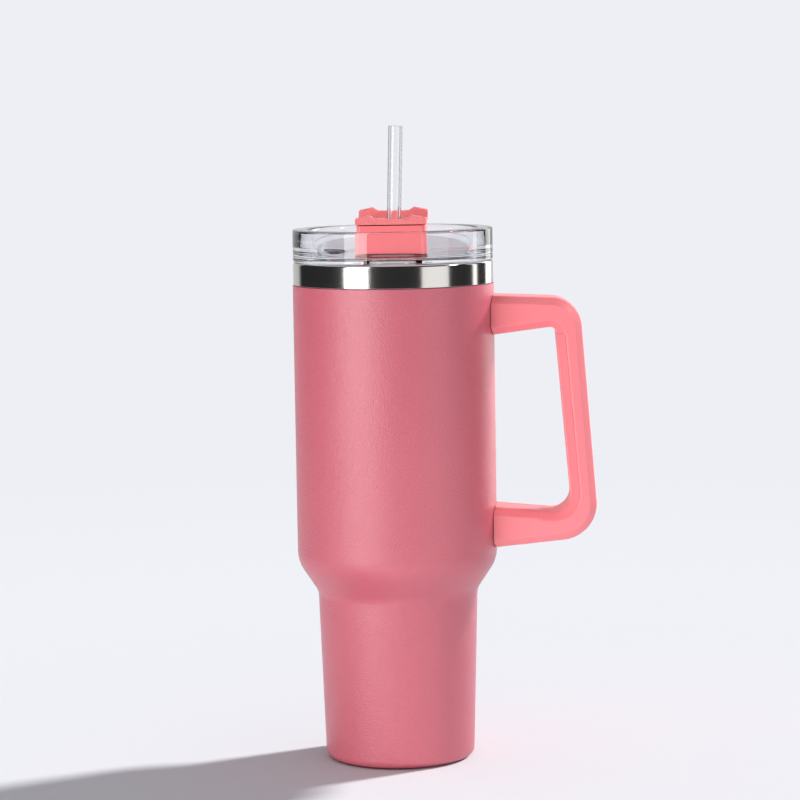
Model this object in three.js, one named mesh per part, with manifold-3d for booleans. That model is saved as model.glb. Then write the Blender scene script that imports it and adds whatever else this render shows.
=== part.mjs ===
// A large vacuum-insulated tumbler with a side handle, a clear push-fit lid, a turning drink cover and a straw.
// Millimetres, +Z up. The origin is the centre of the base pad's underside, and the handle points along +X.
import * as THREE from "three";
import { mergeVertices } from "three/addons/utils/BufferGeometryUtils.js";
import Module from "manifold-3d";

const wasm = await Module();
wasm.setup();

// Clearances
const seatGap = 0.3;
const runningGap = 0.6;
const plugGap = 0.6;
const strawClearance = 1.5;
const barClearance = 2.1;
const linerFloorGap = 1.4;

// Cup: the coated outside, from the floor up
const baseLift = 0.5;
const baseRadius = 36.77;
const baseCornerRadius = 3.6;
const stemTopRadius = 39.39;
const stemHeight = 83.7;
const stemFillet = 9;
const bodyRadius = 49.3;
const shoulderRise = 15;
const shoulderFillet = 17.5;
const coatingHeight = 235;
const shellWall = 0.8;
const linerWall = 0.8;
const vacuumGap = 1.7;
const linerCornerRadius = 6;

// Bare steel mouth, rolled over from the liner and down over the neck of the shell
const bandHeight = 11.4;
const bandWall = 0.8;
const bandStepIn = 0.3;
const lipOuterRound = 1.3;
const lipInnerRound = 1;

// Base: pad, cosmetic cap, vacuum disc, port seal and getter
const baseFlange = 5.47;
const padSideGap = 0.5;
const capThickness = 0.8;
const capOverlap = 2.4;
const vacuumDiscLift = 2.2;
const vacuumDiscThickness = 0.8;
const portDimpleRadius = 4.5;
const portDimpleRise = 1.2;
const portHoleRadius = 1.2;
const portSealHeight = 0.6;
const getterOffset = 18;
const getterRadius = 5;
const getterHeight = 2.4;
const getterClipWall = 0.5;
const getterClipHeight = 2.4;

// Handle: heights are taken from the top of the coating and from the shoulder, reaches from the body
const handleWidth = 29.6;
const handleFlat = 9.6;
const handleChamfer = 3.65;
const upperRootTop = -5.7;
const upperRootBottom = -26.2;
const upperEndTop = -7.9;
const upperEndBottom = -21.5;
const lowerRootTop = 27.2;
const lowerRootBottom = 5.5;
const lowerEndTop = 22.6;
const lowerEndBottom = 11.1;
const upperReach = 41.5;
const lowerReach = 50.3;
const gripThicknessTop = 11.6;
const gripThicknessBottom = 12.8;
const upperOuterRound = 15;
const lowerOuterRound = 18;
const upperInnerRound = 3.5;
const lowerInnerRound = 9;
const insertDepth = 3.7;
const insertTopDrop = 3.5;
const insertTail = 13;

// Handle fixing: a steel bracket welded to the shell, a screw from below and a plug over its head
const tongueLength = 20;
const tongueWidth = 14;
const tongueThickness = 3;
const bracketFootWidth = 16;
const bracketFootHeight = 6.4;
const bracketFootDepth = 2;
const pocketSlack = 0.4;
const screwReach = 13;
const tongueRise = 8.4;
const screwRadius = 1.8;
const screwHeadRadius = 3.4;
const screwHeadHeight = 1.6;
const screwHeadRound = 0.6;
const screwSeat = 1.2;
const screwTipRise = 3.2;
const screwBoreRadius = 4.2;
const plugThickness = 1.1;

// Lid: a plug with a well, and a clear ring round the well
const ringWidth = 10;
const lidWall = 2.4;
const flangeThickness = 2.7;
const ringHeight = 12.6;
const ringRound = 1;
const wellDrop = 1.4;
const floorThickness = 2;
const skirtWall = 2.2;
const skirtDepth = 12.2;
const skirtRound = 0.8;
const gasketHeight = 3.4;
const gasketDepth = 1.4;
const gasketRise = 4;
const hubBossWidth = 6;
const hubBossDepth = 1.4;
const ventRadius = 1.2;

// Turning cover: a clear disc on a hollow hub, with a coloured thumb bar
const coverYaw = -1.4;
const discThickness = 1.4;
const hubWall = 1.4;
const hubReach = 6.7;
const retainerThickness = 1.4;
const retainerWidth = 3.5;
const retainerGrooveDepth = 0.7;
const oRingThickness = 1.7;
const oRingGrooveWidth = 2.6;
const oRingGrooveDepth = 2;
const barWidth = 33;
const barEndGap = 9;
const barHeight = 14.7;
const barWall = 2;
const barRound = 2;
const barSocketWall = 2.4;
const capOverhang = 0.6;
const capDeck = 1.8;
const capFrontLength = 10;
const capBackLength = 12;
const frontFloorRise = 2.5;
const frontPeakRise = 4.4;
const frontOuterRise = 3;
const backFloorRise = 4.8;
const backPeakRise = 6.5;
const backOuterRise = 5.1;
const notchHalfWidth = 7.6;
const peakOffset = 10.3;
const wingRound = 0.6;
const notchRound = 0.8;
const sipLength = 16;
const sipWidth = 7;
const sipEdgeGap = 4.5;
const sipTurn = 60;
const windowMargin = 1;
const sipSealWidth = 1.5;
const sipSealHeight = 1;

// Straw
const strawOuterRadius = 3.5;
const strawWall = 1;
const strawRise = 46.9;
const strawLean = 1.77;
const strawOffset = 0.85;
const strawLift = 0.8;

// Facets in a full turn, degrees in a step of a rounded corner, and how far a cutter runs past its face
const roundSegments = 48;
const smallSegments = 24;
const arcStep = 30;
const overrun = 1;
const armOverlap = 8;

// Heights and radii worked out from the sizes above
const lipTop = coatingHeight + bandHeight;
const padHoleRadius = baseRadius - baseFlange;
const padTop = baseLift + shellWall;
const capLift = padTop + seatGap;
const vacuumDiscBottom = capLift + capThickness + vacuumDiscLift;
const vacuumDiscTop = vacuumDiscBottom + vacuumDiscThickness;
const getterSeat = vacuumDiscTop + seatGap;
const getterBottom = getterSeat + getterClipWall + seatGap;
const linerFloorHeight = getterBottom + getterHeight + linerFloorGap;
const linerFloorTop = linerFloorHeight + linerWall;
const mouthRadius = bodyRadius - shellWall - vacuumGap - linerWall;
const flangeBottom = lipTop + seatGap;
const flangeTop = flangeBottom + flangeThickness;
const ringBottom = flangeTop + seatGap;
const lidTop = ringBottom + ringHeight;
const lidRadius = bodyRadius - bandStepIn;
const wellRadius = lidRadius - ringWidth;
const floorTop = flangeTop - wellDrop;
const floorBottom = floorTop - floorThickness;
const bossBottom = floorBottom - hubBossDepth;
const discBottom = floorTop + seatGap;
const discTop = discBottom + discThickness;
const barBottom = discTop + seatGap;
const barTop = barBottom + barHeight;
const capBottom = barTop + seatGap;
const hubBore = strawOuterRadius + strawClearance;
const hubRadius = hubBore + hubWall;
const hubHoleRadius = hubRadius + runningGap;
const hubBossRadius = hubHoleRadius + hubBossWidth;
const barHoleRadius = strawOuterRadius + barClearance;
const skirtRadius = mouthRadius - plugGap;
const barHalfLength = wellRadius - barEndGap;
const sipCentre = wellRadius - sipEdgeGap - sipWidth / 2;
const shoulderTop = stemHeight + shoulderRise;

const finishes = {
  coating: { color: 0xd17380, roughness: 0.55, metalness: 0.2 },
  steel: { color: 0xb9b7b3, roughness: 0.22, metalness: 1 },
  bareSteel: { color: 0x9c9a97, roughness: 0.45, metalness: 1 },
  handle: { color: 0xfb9298, roughness: 0.4, metalness: 0 },
  grip: { color: 0xf48c93, roughness: 0.6, metalness: 0 },
  bar: { color: 0xfc868c, roughness: 0.45, metalness: 0 },
  clear: { color: 0xeef1f4, roughness: 0.05, metalness: 0, transparent: true, opacity: 0.4 },
  silicone: { color: 0xe9e9e6, roughness: 0.7, metalness: 0 },
  pad: { color: 0x5b3f43, roughness: 0.85, metalness: 0 },
  getter: { color: 0x6a6a6e, roughness: 0.7, metalness: 0.6 },
  solder: { color: 0x8d8f92, roughness: 0.4, metalness: 0.8 },
};

// Corners are [x, y] or [x, y, round]. The result is a list of points with each round as an arc.
function roundCorners(corners, closed) {
  const points = [];
  corners.forEach(([x, y, round = 0], i) => {
    const atEnd = !closed && (i === 0 || i === corners.length - 1);
    if (!round || atEnd) {
      points.push(new THREE.Vector2(x, y));
      return;
    }
    const corner = new THREE.Vector2(x, y);
    const before = corners[(i + corners.length - 1) % corners.length];
    const after = corners[(i + 1) % corners.length];
    const back = new THREE.Vector2(before[0] - x, before[1] - y).normalize();
    const ahead = new THREE.Vector2(after[0] - x, after[1] - y).normalize();
    const half = Math.acos(THREE.MathUtils.clamp(back.dot(ahead), -1, 1)) / 2;
    const middle = back.clone().add(ahead).normalize().multiplyScalar(round / Math.sin(half));
    const centre = corner.clone().add(middle);
    const first = corner.clone().addScaledVector(back, round / Math.tan(half)).sub(centre);
    const sweep = (Math.PI - 2 * half) * Math.sign(ahead.cross(back));
    const steps = Math.max(2, Math.ceil(Math.abs(THREE.MathUtils.radToDeg(sweep)) / arcStep));
    for (let step = 0; step <= steps; step += 1) {
      const turned = first.clone().rotateAround(new THREE.Vector2(), (sweep * step) / steps);
      points.push(turned.add(centre));
    }
  });
  return points;
}

// The corners of a path moved a distance to its left, each round kept concentric.
function offsetPath(corners, distance) {
  const edges = corners.slice(1).map((end, i) => {
    const start = new THREE.Vector2(corners[i][0], corners[i][1]);
    const along = new THREE.Vector2(end[0], end[1]).sub(start).normalize();
    const left = new THREE.Vector2(-along.y, along.x).multiplyScalar(distance);
    return { start: start.add(left), along };
  });
  return corners.map(([x, y, round = 0], i) => {
    if (i === 0 || i === corners.length - 1) {
      const { along } = edges[Math.max(0, i - 1)];
      return [x - along.y * distance, y + along.x * distance];
    }
    const before = edges[i - 1];
    const after = edges[i];
    const turn = before.along.cross(after.along);
    const reach = after.start.clone().sub(before.start).cross(after.along) / turn;
    const moved = before.start.clone().addScaledVector(before.along, reach);
    return [moved.x, moved.y, round ? round - distance * Math.sign(turn) : 0];
  });
}

function solidOf(geometry) {
  const bare = geometry.clone();
  bare.deleteAttribute("normal");
  bare.deleteAttribute("uv");
  const merged = mergeVertices(bare, 1e-4);
  const vertProperties = merged.attributes.position.array;
  const triVerts = new Uint32Array(merged.index.array);
  return new wasm.Manifold(new wasm.Mesh({ numProp: 3, vertProperties, triVerts }));
}

function geometryOf(solid) {
  const mesh = solid.getMesh();
  const positions = new Float32Array(mesh.numVert * 3);
  for (let i = 0; i < mesh.numVert; i += 1) {
    positions.set(mesh.vertProperties.subarray(i * mesh.numProp, i * mesh.numProp + 3), i * 3);
  }
  const geometry = new THREE.BufferGeometry();
  geometry.setAttribute("position", new THREE.BufferAttribute(positions, 3));
  geometry.setIndex(new THREE.BufferAttribute(new Uint32Array(mesh.triVerts), 1));
  const faceted = geometry.toNonIndexed();
  faceted.computeVertexNormals();
  return faceted;
}

// A turned solid about Z. The profile starts and ends on the axis, or it closes on itself.
function turned(corners, segments = roundSegments) {
  const onAxis = corners[0][0] === 0;
  const points = roundCorners(corners, !onAxis);
  if (!THREE.ShapeUtils.isClockWise(points)) {
    points.reverse();
  }
  if (!onAxis) {
    points.push(points[0].clone());
  }
  points.reverse();
  const geometry = new THREE.LatheGeometry(points, segments);
  geometry.rotateX(Math.PI / 2);
  return solidOf(geometry);
}

function ring(inner, outer, bottom, top, segments = roundSegments) {
  return turned([[inner, bottom], [outer, bottom], [outer, top], [inner, top]], segments);
}

function disc(radius, bottom, top, segments = roundSegments) {
  return turned([[0, bottom], [radius, bottom], [radius, top], [0, top]], segments);
}

function block(sizeX, sizeY, sizeZ, x, y, z) {
  const geometry = new THREE.BoxGeometry(sizeX, sizeY, sizeZ);
  geometry.translate(x, y, z);
  return solidOf(geometry);
}

// An outline in X and Y, raised along Z.
function raised(corners, bottom, top) {
  const shape = new THREE.Shape(roundCorners(corners, true));
  const geometry = new THREE.ExtrudeGeometry(shape, { depth: top - bottom, bevelEnabled: false });
  geometry.translate(0, 0, bottom);
  return solidOf(geometry);
}

// An outline in X and Z, spread along Y from one side to the other, with an optional chamfer.
function spread(corners, front, back, chamferSize = 0, chamferDepth = 0) {
  const shape = new THREE.Shape(roundCorners(corners, true));
  const geometry = new THREE.ExtrudeGeometry(shape, {
    depth: back - front - 2 * chamferDepth,
    bevelEnabled: chamferSize > 0,
    bevelThickness: chamferDepth,
    bevelSize: chamferSize,
    bevelOffset: -chamferSize,
    bevelSegments: 1,
  });
  geometry.rotateX(Math.PI / 2);
  geometry.translate(0, back - chamferDepth, 0);
  return solidOf(geometry);
}

function rectangle(sizeX, sizeY, round, x = 0, y = 0) {
  const halfX = sizeX / 2;
  const halfY = sizeY / 2;
  return [
    [x - halfX, y - halfY, round],
    [x + halfX, y - halfY, round],
    [x + halfX, y + halfY, round],
    [x - halfX, y + halfY, round],
  ];
}

function piece(name, solid, finish) {
  const mesh = new THREE.Mesh(geometryOf(solid), new THREE.MeshStandardMaterial(finishes[finish]));
  mesh.name = name;
  return mesh;
}

// The outside of the cup from its base corner to a height, as corners that any inner wall is offset from.
function stemRadiusAt(height) {
  const share = (height - baseLift) / (stemHeight - baseLift);
  return baseRadius + (stemTopRadius - baseRadius) * share;
}

function cupPath(bottom, cornerRadius, top) {
  return [
    [0, bottom],
    [stemRadiusAt(bottom), bottom, cornerRadius],
    [stemTopRadius, stemHeight, stemFillet],
    [bodyRadius, shoulderTop, shoulderFillet],
    [bodyRadius, top],
  ];
}

const neckRadius = bodyRadius - bandStepIn - bandWall - seatGap;

function outerShell() {
  const outside = cupPath(baseLift, baseCornerRadius, coatingHeight);
  const inside = offsetPath(outside, shellWall).slice(1).reverse();
  const neckTop = lipTop - bandWall - seatGap;
  inside[0][1] = coatingHeight - shellWall;
  return turned([
    [padHoleRadius, baseLift],
    ...outside.slice(1),
    [neckRadius, coatingHeight],
    [neckRadius, neckTop],
    [neckRadius - shellWall, neckTop],
    [neckRadius - shellWall, coatingHeight - shellWall],
    ...inside,
    [padHoleRadius, baseLift + shellWall],
  ]);
}

function innerLiner() {
  const outerOffset = shellWall + vacuumGap;
  const path = cupPath(linerFloorHeight - outerOffset, linerCornerRadius + outerOffset, lipTop);
  const outside = offsetPath(path, outerOffset);
  const inside = offsetPath(path, outerOffset + linerWall).reverse();
  const bandRadius = bodyRadius - bandStepIn;
  outside[outside.length - 1][1] = lipTop - bandWall;
  inside[0][2] = lipInnerRound;
  return turned([
    ...outside,
    [bandRadius - bandWall, lipTop - bandWall],
    [bandRadius - bandWall, coatingHeight + seatGap],
    [bandRadius, coatingHeight + seatGap],
    [bandRadius, lipTop, lipOuterRound],
    ...inside,
  ]);
}

function vacuumDisc() {
  const radius = stemRadiusAt(vacuumDiscBottom) - shellWall - seatGap;
  const roof = vacuumDiscBottom + portDimpleRise;
  const wallRadius = portDimpleRadius + vacuumDiscThickness;
  return turned([
    [portHoleRadius, roof],
    [portDimpleRadius, roof],
    [portDimpleRadius, vacuumDiscBottom],
    [radius, vacuumDiscBottom],
    [radius, vacuumDiscTop],
    [wallRadius, vacuumDiscTop],
    [wallRadius, roof + vacuumDiscThickness],
    [portHoleRadius, roof + vacuumDiscThickness],
  ]);
}

function portSeal() {
  const top = vacuumDiscBottom + portDimpleRise - seatGap;
  const radius = portDimpleRadius - 2 * seatGap;
  return turned(
    [[0, top - portSealHeight], [radius / 2, top - portSealHeight], [radius, top], [0, top]],
    smallSegments,
  );
}

function getterClip() {
  const inner = getterRadius + seatGap;
  const outer = inner + getterClipWall;
  const top = getterSeat + getterClipHeight;
  return turned(
    [
      [getterRadius / 2, getterSeat],
      [outer, getterSeat],
      [outer, top],
      [inner, top],
      [inner, getterSeat + getterClipWall],
      [getterRadius / 2, getterSeat + getterClipWall],
    ],
    smallSegments,
  );
}

function getterCapsule() {
  return disc(getterRadius, getterBottom, getterBottom + getterHeight, smallSegments);
}

// Handle outline in X and Z. The arms run on into the body, and the saddle cut takes their ends off.
const armStart = bodyRadius - armOverlap;
const upperCornerX = bodyRadius + upperReach;
const lowerCornerX = bodyRadius + lowerReach;
const innerPath = [
  [armStart, coatingHeight + upperRootBottom],
  [upperCornerX - gripThicknessTop, coatingHeight + upperEndBottom, upperInnerRound],
  [lowerCornerX - gripThicknessBottom, shoulderTop + lowerEndTop, lowerInnerRound],
  [armStart, shoulderTop + lowerRootTop],
];
const outerPath = [
  [armStart, shoulderTop + lowerRootBottom],
  [lowerCornerX, shoulderTop + lowerEndBottom, lowerOuterRound],
  [upperCornerX, coatingHeight + upperEndTop, upperOuterRound],
  [armStart, coatingHeight + upperRootTop],
];

function heightOnEdge(from, to, x) {
  return from[1] + ((to[1] - from[1]) * (x - from[0])) / (to[0] - from[0]);
}

// The strip of the handle along its inner edge, from below the upper corner to past the lower one.
function insertStrip(growth) {
  const [, gripTop, gripBottom, armEnd] = innerPath;
  const topZ = gripTop[1] - insertTopDrop + growth;
  const topShare = (topZ - gripTop[1]) / (gripBottom[1] - gripTop[1]);
  const topX = gripTop[0] + (gripBottom[0] - gripTop[0]) * topShare;
  const tailX = gripBottom[0] - insertTail - growth;
  const edge = [
    [topX, topZ],
    gripBottom,
    [tailX, heightOnEdge(gripBottom, armEnd, tailX)],
  ];
  const freeSide = offsetPath(edge, -1);
  const seamSide = offsetPath(edge, insertDepth + growth).reverse();
  return spread([...freeSide, ...seamSide], -handleWidth, handleWidth);
}

function saddle() {
  return disc(bodyRadius + seatGap, 0, lipTop);
}

const chamferDepth = (handleWidth - handleFlat) / 2;
const handleHalf = handleWidth / 2;
const handleSolid = spread(
  [...innerPath, ...outerPath],
  -handleHalf,
  handleHalf,
  handleChamfer,
  chamferDepth,
).subtract(saddle());

// Each fixing is set by the height of its arm's underside at the screw.
const screwX = bodyRadius + screwReach;
const fixings = [
  { place: "upper", middle: heightOnEdge(innerPath[0], innerPath[1], screwX) + tongueRise },
  { place: "lower", middle: heightOnEdge(outerPath[0], outerPath[1], screwX) + tongueRise },
];

function bracket({ middle }) {
  const footLength = bracketFootDepth + armOverlap;
  const foot = block(footLength, bracketFootWidth, bracketFootHeight, armStart + footLength / 2, 0, middle);
  const tongueX = bodyRadius + tongueLength / 2;
  const tongue = block(tongueLength, tongueWidth, tongueThickness, tongueX, 0, middle);
  const hole = disc(screwRadius + seatGap, 0, lipTop, smallSegments).translate(screwX, 0, 0);
  return foot.add(tongue).subtract(saddle()).subtract(hole);
}

function fixingHeights({ middle }) {
  const seat = middle - bracketFootHeight / 2 - pocketSlack - screwSeat;
  const headTop = seat - seatGap;
  return { seat, headTop, headBottom: headTop - screwHeadHeight };
}

function pocket(fixing) {
  const { seat } = fixingHeights(fixing);
  const depth = armOverlap + tongueLength + seatGap;
  const width = bracketFootWidth + 2 * pocketSlack;
  const height = bracketFootHeight + 2 * pocketSlack;
  const room = block(depth, width, height, armStart + depth / 2, 0, fixing.middle);
  const shaft = disc(screwRadius + seatGap, seat - overrun, fixing.middle, smallSegments);
  const counterbore = disc(screwBoreRadius, fixing.middle - tongueRise - overrun, seat, smallSegments);
  return room.add(shaft.add(counterbore).translate(screwX, 0, 0));
}

function screw(fixing) {
  const { headTop, headBottom } = fixingHeights(fixing);
  return turned(
    [
      [0, headBottom],
      [screwHeadRadius, headBottom, screwHeadRound],
      [screwHeadRadius, headTop],
      [screwRadius, headTop],
      [screwRadius, fixing.middle + screwTipRise],
      [0, fixing.middle + screwTipRise],
    ],
    smallSegments,
  ).translate(screwX, 0, 0);
}

function screwPlug(fixing) {
  const { headBottom } = fixingHeights(fixing);
  const top = headBottom - seatGap;
  const radius = screwBoreRadius - seatGap;
  return disc(radius, top - plugThickness, top, smallSegments).translate(screwX, 0, 0);
}

function handleFrame() {
  return fixings.reduce((body, fixing) => body.subtract(pocket(fixing)), handleSolid)
    .subtract(insertStrip(seatGap));
}

const gasketBottom = flangeBottom - skirtDepth + gasketRise;
const gasketTop = gasketBottom + gasketHeight;
const oRingGrooveBottom = floorTop - oRingGrooveDepth;
const sipOutline = rectangle(sipLength, sipWidth, sipWidth / 2.01, 0, -sipCentre);
const sealRecess = rectangle(
  sipLength + 2 * (sipSealWidth + 2 * seatGap),
  sipWidth + 2 * (sipSealWidth + 2 * seatGap),
  sipWidth / 2 + sipSealWidth,
  0,
  -sipCentre,
);

function lidBase() {
  const grooveRadius = skirtRadius - gasketDepth;
  const skirtBottom = flangeBottom - skirtDepth;
  const wellWallRadius = wellRadius + lidWall;
  const body = turned([
    [hubHoleRadius, bossBottom],
    [hubBossRadius, bossBottom],
    [hubBossRadius, floorBottom],
    [skirtRadius - skirtWall, floorBottom],
    [skirtRadius - skirtWall, skirtBottom],
    [skirtRadius, skirtBottom, skirtRound],
    [skirtRadius, gasketBottom],
    [grooveRadius, gasketBottom],
    [grooveRadius, gasketTop],
    [skirtRadius, gasketTop],
    [skirtRadius, flangeBottom],
    [lidRadius, flangeBottom],
    [lidRadius, flangeTop],
    [wellWallRadius, flangeTop],
    [wellWallRadius, lidTop - lidWall - seatGap],
    [wellRadius, lidTop - lidWall - seatGap],
    [wellRadius, floorTop],
    [hubHoleRadius + oRingGrooveWidth, floorTop],
    [hubHoleRadius + oRingGrooveWidth, oRingGrooveBottom],
    [hubHoleRadius, oRingGrooveBottom],
  ]);
  const sipHole = raised(sipOutline, floorBottom - overrun, floorTop + overrun);
  const recess = raised(sealRecess, floorTop - sipSealHeight - seatGap, floorTop + overrun);
  const vent = disc(ventRadius, floorBottom - overrun, floorTop + overrun, smallSegments);
  return body.subtract(sipHole).subtract(recess).subtract(vent.translate(0, sipCentre, 0));
}

function lidRing() {
  const innerFace = lidRadius - lidWall;
  return turned([
    [innerFace, ringBottom],
    [lidRadius, ringBottom],
    [lidRadius, lidTop, ringRound],
    [wellRadius, lidTop, ringRound],
    [wellRadius, lidTop - lidWall],
    [innerFace, lidTop - lidWall],
  ]);
}

function lidGasket() {
  const inner = skirtRadius - gasketDepth + seatGap;
  const outer = mouthRadius - seatGap;
  const bottom = gasketBottom + seatGap;
  const top = gasketTop - seatGap;
  const bulge = (top - bottom) / 3;
  return turned([
    [inner, bottom],
    [skirtRadius - seatGap, bottom],
    [outer, bottom + bulge],
    [outer, top - bulge],
    [skirtRadius - seatGap, top],
    [inner, top],
  ]);
}

function sipSeal() {
  const margin = 2 * (sipSealWidth + seatGap);
  const outer = rectangle(sipLength + margin, sipWidth + margin, sipWidth / 2 + sipSealWidth, 0, -sipCentre);
  const hole = rectangle(
    sipLength + 2 * seatGap,
    sipWidth + 2 * seatGap,
    sipWidth / 2,
    0,
    -sipCentre,
  );
  const bottom = floorTop - sipSealHeight;
  return raised(outer, bottom, floorTop).subtract(raised(hole, bottom - overrun, floorTop + overrun));
}

const retainerTop = bossBottom - seatGap;
const retainerBottom = retainerTop - retainerThickness;

function turningDisc() {
  const hubBottom = floorTop - hubReach;
  const grooveRadius = hubRadius - retainerGrooveDepth;
  const body = turned([
    [hubBore, hubBottom],
    [hubRadius, hubBottom],
    [hubRadius, retainerBottom - seatGap],
    [grooveRadius, retainerBottom - seatGap],
    [grooveRadius, bossBottom],
    [hubRadius, bossBottom],
    [hubRadius, discBottom],
    [wellRadius - runningGap, discBottom],
    [wellRadius - runningGap, discTop],
    [hubBore, discTop],
  ]);
  const outline = rectangle(
    sipLength + windowMargin,
    sipWidth + windowMargin,
    sipWidth / 2,
    0,
    -sipCentre,
  );
  const window = raised(outline, discBottom - overrun, discTop + overrun);
  return body.subtract(window.rotate([0, 0, -sipTurn]));
}

function hubRetainer() {
  const inner = hubRadius - retainerGrooveDepth + seatGap;
  return ring(inner, inner + retainerWidth, retainerBottom, retainerTop, smallSegments);
}

function hubORing() {
  const inner = hubHoleRadius + (oRingGrooveWidth - oRingThickness) / 2;
  const bottom = oRingGrooveBottom + seatGap;
  const top = bottom + oRingThickness;
  const round = oRingThickness * 0.45;
  return turned(
    [
      [inner, bottom, round],
      [inner + oRingThickness, bottom, round],
      [inner + oRingThickness, top, round],
      [inner, top, round],
    ],
    smallSegments,
  );
}

function barHousing() {
  const length = 2 * barHalfLength;
  const outside = raised(rectangle(barWidth, length, barRound), barBottom, barTop);
  const inside = rectangle(barWidth - 2 * barWall, length - 2 * barWall, barRound / 2);
  const hollow = raised(inside, barBottom - overrun, barTop - barWall);
  const socket = disc(barHoleRadius + barSocketWall, barBottom, barTop, smallSegments);
  const bore = disc(barHoleRadius, barBottom - overrun, barTop + overrun, smallSegments);
  return outside.subtract(hollow).add(socket).subtract(bore);
}

// One end of the bar's cap: two wings with a notch between them.
function capEnd(floorRise, peakRise, outerRise, front, back) {
  const halfWidth = barWidth / 2 + capOverhang;
  return spread(
    [
      [-halfWidth, capBottom],
      [halfWidth, capBottom],
      [halfWidth, capBottom + outerRise, wingRound],
      [peakOffset, capBottom + peakRise, wingRound],
      [notchHalfWidth, capBottom + floorRise, notchRound],
      [-notchHalfWidth, capBottom + floorRise, notchRound],
      [-peakOffset, capBottom + peakRise, wingRound],
      [-halfWidth, capBottom + outerRise, wingRound],
    ],
    front,
    back,
  );
}

function barCap() {
  const halfLength = barHalfLength + capOverhang;
  const deckOutline = rectangle(barWidth + 2 * capOverhang, 2 * halfLength, wingRound);
  const deck = raised(deckOutline, capBottom, capBottom + capDeck);
  const front = capEnd(
    frontFloorRise, frontPeakRise, frontOuterRise, -halfLength, capFrontLength - halfLength,
  );
  const back = capEnd(
    backFloorRise, backPeakRise, backOuterRise, halfLength - capBackLength, halfLength,
  );
  const bore = disc(barHoleRadius, capBottom - overrun, capBottom + backPeakRise, smallSegments);
  return deck.add(front).add(back).subtract(bore);
}

const tumbler = new THREE.Group();

const cup = new THREE.Group();
cup.add(piece("outer_shell", outerShell(), "coating"));
cup.add(piece("inner_liner", innerLiner(), "steel"));
cup.add(piece("vacuum_disc", vacuumDisc(), "bareSteel"));
cup.add(piece("vacuum_port_seal", portSeal(), "solder"));
cup.add(piece("base_cap", disc(padHoleRadius + capOverlap, capLift, capLift + capThickness), "bareSteel"));
cup.add(piece("base_pad", disc(padHoleRadius - padSideGap, 0, padTop), "pad"));
const getter = new THREE.Group();
getter.position.x = getterOffset;
getter.add(piece("getter_clip", getterClip(), "bareSteel"));
getter.add(piece("getter_capsule", getterCapsule(), "getter"));
cup.add(getter);
tumbler.add(cup);

const handle = new THREE.Group();
handle.add(piece("handle_frame", handleFrame(), "handle"));
handle.add(piece("grip_insert", handleSolid.intersect(insertStrip(0)), "grip"));
for (const fixing of fixings) {
  handle.add(piece(fixing.place + "_bracket", bracket(fixing), "bareSteel"));
  handle.add(piece(fixing.place + "_screw", screw(fixing), "steel"));
  handle.add(piece(fixing.place + "_screw_plug", screwPlug(fixing), "handle"));
}
tumbler.add(handle);

const lid = new THREE.Group();
lid.add(piece("lid_base", lidBase(), "clear"));
lid.add(piece("lid_ring", lidRing(), "clear"));
lid.add(piece("lid_gasket", lidGasket(), "silicone"));
lid.add(piece("sip_seal", sipSeal(), "silicone"));
lid.add(piece("hub_o_ring", hubORing(), "silicone"));
tumbler.add(lid);

const cover = new THREE.Group();
cover.rotation.z = THREE.MathUtils.degToRad(coverYaw);
cover.add(piece("turning_disc", turningDisc(), "clear"));
cover.add(piece("hub_retainer", hubRetainer(), "bareSteel"));
cover.add(piece("bar_housing", barHousing(), "bar"));
cover.add(piece("bar_cap", barCap(), "bar"));
tumbler.add(cover);

const lean = THREE.MathUtils.degToRad(strawLean);
const strawBottom = linerFloorTop + strawLift;
const strawTop = capBottom + strawRise;
const strawLength = (strawTop - strawBottom) / Math.cos(lean);
const strawTube = ring(strawOuterRadius - strawWall, strawOuterRadius, 0, strawLength, smallSegments);
const straw = piece("straw", strawTube, "clear");
straw.position.set(strawOffset - (capBottom - strawBottom) * Math.tan(lean), 0, strawBottom);
straw.rotation.y = lean;
tumbler.add(straw);

export default tumbler;
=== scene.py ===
"""An insulated tumbler with a side handle, a clear lid, a turning drink cover and a straw.

Every piece is built round the fixed frame, in metres: +Z is up the cup's axis and +X points to the handle.
"""

import math

import bmesh
import bpy
from mathutils import Matrix, Vector


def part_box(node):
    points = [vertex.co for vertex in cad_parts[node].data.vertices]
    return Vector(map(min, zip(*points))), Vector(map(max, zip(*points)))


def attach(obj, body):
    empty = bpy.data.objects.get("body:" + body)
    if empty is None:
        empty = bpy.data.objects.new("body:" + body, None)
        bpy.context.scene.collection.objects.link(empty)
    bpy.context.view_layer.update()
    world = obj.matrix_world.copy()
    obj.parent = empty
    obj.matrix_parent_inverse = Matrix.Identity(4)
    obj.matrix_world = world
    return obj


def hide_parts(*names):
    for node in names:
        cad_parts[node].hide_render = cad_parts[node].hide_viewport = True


bl_info = {
    "name": "Insulated tumbler",
    "version": (1, 0, 0),
    "blender": (4, 5, 0),
    "location": "3D View > Sidebar > Tumbler",
    "description": "Builds an insulated tumbler with a handle, a clear lid, a drink cover and a straw",
    "category": "Object",
}

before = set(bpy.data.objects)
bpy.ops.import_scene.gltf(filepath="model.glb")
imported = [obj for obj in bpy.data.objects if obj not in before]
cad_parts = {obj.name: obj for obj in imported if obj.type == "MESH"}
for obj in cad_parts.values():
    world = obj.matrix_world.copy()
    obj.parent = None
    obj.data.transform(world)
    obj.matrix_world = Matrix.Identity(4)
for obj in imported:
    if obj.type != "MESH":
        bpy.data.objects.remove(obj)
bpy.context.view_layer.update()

MM = 0.001
GAP = 0.3 * MM
TURNS = 192
SMALL_TURNS = 64
DOUBLES = 1e-6


def top_of(node):
    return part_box(node)[1].z


def foot_of(node):
    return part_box(node)[0].z


def reach_of(node):
    """How far a turned node reaches from the cup's axis."""
    low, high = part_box(node)
    return (high.y - low.y) / 2


# Sizes and colours that a user would change


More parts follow.
